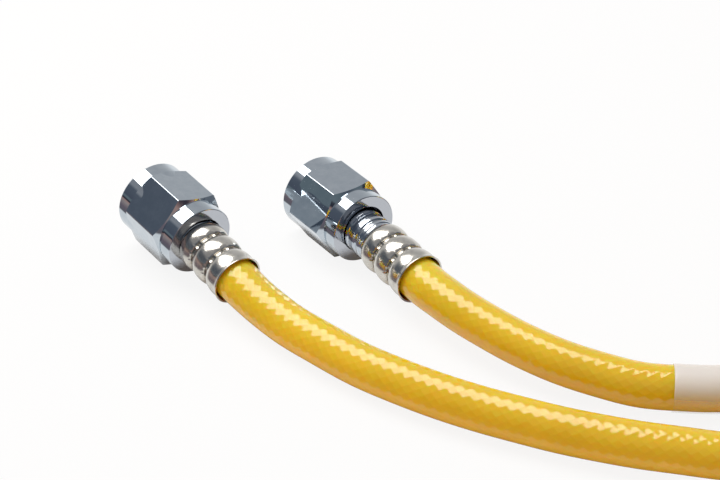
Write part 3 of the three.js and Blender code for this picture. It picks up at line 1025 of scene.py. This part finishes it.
def frosted_film(name):
    f = Finish(name)
    _, around, _ = f.split(f.node("ShaderNodeUVMap", {"uv_map": UV_MAP}))
    object_place = f.node("ShaderNodeTexCoord", output="Object")
    cloud = f.noise(object_place, 140.0, 3.0)
    underneath = 0.5 - (around * (2 * math.pi)).math("SINE") * 0.5
    touch = f.smooth(underneath, 0.08, 0.6)
    f.set(Base_Color=f.blend(cloud, (0.96, 0.95, 0.93, 1), (0.98, 0.97, 0.955, 1)))
    f.set(Roughness=0.24 + cloud * 0.1, Alpha=0.64 - touch * 0.6 + cloud * 0.05)
    f.set(Normal=f.bump(cloud * 0.03, 0.5, 0.001))
    return f.owner


# %% Rubber and strap


def rubber(name):
    f = Finish(name)
    grain = f.noise(f.on_piece(), 4.0, 3.0)
    f.set(Base_Color=f.blend(grain, (0.012, 0.012, 0.013, 1), (0.03, 0.03, 0.032, 1)))
    f.set(Roughness=f.smooth(grain, 0.2, 0.8, 0.42, 0.6), Normal=f.bump(grain * 0.02, 0.5, 0.001))
    return f.owner


def black_tape(name):
    f = Finish(name)
    spot = f.on_piece()
    _, _, z = f.split(spot)
    pile = f.noise(spot, 7.0, 4.0, 0.8)
    ribs = (z * 6.0).math("SINE") * 0.5 + 0.5
    shade = f.blend(pile, (0.008, 0.008, 0.009, 1), (0.05, 0.05, 0.054, 1))
    f.set(Base_Color=shade, Roughness=f.smooth(pile, 0.2, 0.8, 0.75, 0.95))
    f.set(Normal=f.bump(pile * 0.25 + ribs * 0.06, 0.9, 0.001))
    f.set(Sheen_Weight=0.25)
    return f.owner


# %% Give every piece its finish
chrome_finish = chrome("chrome")
neck_finish = plated_neck("plated_neck")
ferrule_finish = nickel_silver("nickel_silver")
rubber_finish = rubber("black_rubber")
hose.data.materials.append(yellow_plastic("yellow_plastic"))
sleeve.data.materials.append(frosted_film("frosted_film"))
tie.data.materials.append(black_tape("black_tape"))
for side in NUT:
    for made, finish in (
            (nuts, chrome_finish), (nipples, neck_finish), (ferrules, ferrule_finish),
            (seals, rubber_finish)):
        made[side].data.materials.clear()
        made[side].data.materials.append(finish)

# %% [markdown]
# ## Hang the pieces on the part's bodies
# Each nut spins on its own body and everything else rides with the hose.

# %% Ride and replace
for side in NUT:
    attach(nuts[side], f"{side}_nut")
    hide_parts(f"{side}_hex_nut")
    for made, node, slot in (
            (nipples, "nipple", "chrome"), (ferrules, "ferrule", "nickel"),
            (seals, "seal_ring", "seal")):
        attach(made[side], "hose")
        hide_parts(f"{side}_{node}")
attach(hose, "hose")
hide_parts("hose_near_run", "hose_far_run", "hose_coil", "near_hose_end", "far_hose_end")
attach(sleeve, "hose")
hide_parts("label_sleeve")
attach(tie, "hose")
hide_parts("coil_tie")

# %% [markdown]
# ## The studio
# One large softbox stands up on the left, behind the hose, and leans over it. It gives the
# cream streak along the hose and the white band round each nut. What chrome shows between is
# the room: dark sides, a grey wall behind that brightens downwards, white paper below.

# %% Softbox
SOFTBOX_AIM = Vector((0.02, -0.03, 0.01))
SOFTBOX_DISTANCE = 1.0
SOFTBOX_FROM_ZENITH, SOFTBOX_AZIMUTH = math.radians(25.2), math.radians(134.5)
SOFTBOX_SIZE = (1.0, 0.64)
SOFTBOX_TURN = math.radians(30)
SOFTBOX_GLOW = 4.6

light = bpy.data.lights.new("softbox", "AREA")
light.shape = "RECTANGLE"
light.size, light.size_y = SOFTBOX_SIZE
light.energy = SOFTBOX_GLOW * math.pi * SOFTBOX_SIZE[0] * SOFTBOX_SIZE[1]
light.color = (1.0, 0.99, 0.975)
softbox = bpy.data.objects.new("softbox", light)
softbox.matrix_world = (
    Matrix.Translation(SOFTBOX_AIM)
    @ Matrix.Rotation(SOFTBOX_AZIMUTH, 4, "Z")
    @ Matrix.Rotation(SOFTBOX_FROM_ZENITH, 4, "Y")
    @ Matrix.Translation((0, 0, SOFTBOX_DISTANCE))
    @ Matrix.Rotation(SOFTBOX_TURN, 4, "Z")
)
bpy.context.scene.collection.objects.link(softbox)
print("softbox at", [round(v, 3) for v in softbox.matrix_world.translation])

# %% [markdown]
# ### The room
# A world's colour is a function of the direction alone. Z is the direction's height, from -1
# straight down to 1 straight up. One ramp paints the sides, another the wall behind, and Y
# says which of the two a direction meets. The camera itself sees plain white, and dull
# surfaces get the room as an even fill, warmer from below, as in a light tent.

# %% Room
room = Kit(bpy.data.worlds.new("room"))
bpy.context.scene.world = room.owner
room.tree.nodes.clear()
_, backwards, height = room.split(room.node("ShaderNodeTexCoord", output="Generated"))
PAPER = (0.88, 0.89, 0.9)


def by_height(stops):
    return room.node("ShaderNodeValToRGB", {"stops": [(z / 2 + 0.5, c) for z, c in stops]}, {
        "Fac": height * 0.5 + 0.5})


sides = by_height([
    (-1.0, PAPER), (-0.5, PAPER), (-0.46, (0.16, 0.15, 0.17)), (-0.3, (0.19, 0.15, 0.18)),
    (-0.12, (0.36, 0.3, 0.29)), (-0.03, (0.44, 0.28, 0.25)), (0.0, (0.03, 0.03, 0.05)),
    (0.05, (0.05, 0.055, 0.07)), (0.07, (0.16, 0.2, 0.225)), (0.14, (0.15, 0.19, 0.215)),
    (0.17, (0.09, 0.105, 0.14)), (0.5, (0.11, 0.13, 0.165)), (0.58, (0.3, 0.31, 0.34)),
    (1.0, (0.3, 0.3, 0.32))])
behind = by_height([
    (-1.0, PAPER), (-0.4, PAPER), (-0.1, (0.95, 0.96, 0.97)), (0.0, (0.86, 0.88, 0.9)),
    (0.1, (0.74, 0.75, 0.77)), (0.2, (0.62, 0.63, 0.645)), (0.35, (0.53, 0.54, 0.56)),
    (0.6, (0.46, 0.47, 0.495)), (0.75, (0.5, 0.51, 0.53)), (1.0, (0.4, 0.4, 0.42))])
colour = room.blend(room.smooth(backwards, 0.25, 0.5), sides, behind)
painted = room.node("ShaderNodeBackground", {}, {"Color": colour, "Strength": 1.0})
white = room.node("ShaderNodeBackground", {}, {"Color": (1, 1, 1, 1), "Strength": 1.0})
tent = by_height([
    (-1.0, (0.85, 0.46, 0.28)), (0.0, (0.82, 0.52, 0.34)), (0.5, (0.45, 0.38, 0.33)),
    (1.0, (0.3, 0.3, 0.31))])
fill = room.node("ShaderNodeBackground", {}, {"Color": tent, "Strength": 1.0})
by_camera = room.node("ShaderNodeLightPath", output="Is Camera Ray")
by_dull = room.node("ShaderNodeLightPath", output="Is Diffuse Ray")
for_object = room.node("ShaderNodeMixShader", {}, {0: by_dull, 1: painted, 2: fill})
room.node("ShaderNodeOutputWorld", {}, {
    "Surface": room.node("ShaderNodeMixShader", {}, {0: by_camera, 1: for_object, 2: white})})

# %% [markdown]
# ## The table
# The photograph is a cut-out on white. The table keeps a trace of the hose's shadow. A mirror
# that touches the table shows it. Further off, the mirror looks through to the room's paper,
# which lies lower and ends sooner: Ray Length says how far the mirror's ray has come. Dull
# surfaces get a painted bounce: for them the paper's colour is painted warm, as if the hose lit the
# paper beside it.

# %% Table
TABLE_SIZE = 6
PAPER_GLOW = 0.88
MIRROR_NEAR, MIRROR_FAR = 0.006, 0.016

nothing_selected()
bpy.ops.mesh.primitive_plane_add(size=TABLE_SIZE, location=(0, 0, 0))
table = bpy.context.object
table.name = "table"
paper = Kit(bpy.data.materials.new("white_paper"))
paper.tree.nodes.clear()
by_camera = paper.node("ShaderNodeLightPath", output="Is Camera Ray")
by_film = paper.node("ShaderNodeLightPath", output="Is Transmission Ray")
by_mirror = paper.node("ShaderNodeLightPath", output="Is Glossy Ray")
ray_length = paper.node("ShaderNodeLightPath", output="Ray Length")
far_off = paper.smooth(ray_length, MIRROR_NEAR, MIRROR_FAR)
sharp = by_camera.math("MAXIMUM", by_mirror)
# painted bounce: rays other than camera and mirror rays see the paper warm, standing in for light
# from the hose
dull = paper.node("ShaderNodeBsdfDiffuse", {}, {
    "Color": paper.blend(sharp, (0.95, 0.72, 0.52, 1), (0.85, 0.85, 0.85, 1))})
bright = paper.node("ShaderNodeEmission", {}, {"Color": (1, 1, 1, 1), "Strength": 1.0})
clear = paper.node("ShaderNodeBsdfTransparent")
direct = by_camera.math("MAXIMUM", by_film)
plain = paper.node("ShaderNodeMixShader", {}, {0: direct * PAPER_GLOW, 1: dull, 2: bright})
paper.node("ShaderNodeOutputMaterial", {}, {
    "Surface": paper.node("ShaderNodeMixShader", {}, {0: by_mirror * far_off, 1: plain, 2: clear})})
table.data.materials.append(paper.owner)

# %% [markdown]
# ## Colours as written
# The Standard view shows a colour as it is written, with no film curve over it.

# %% View and finish
bpy.context.scene.view_settings.view_transform = "Standard"
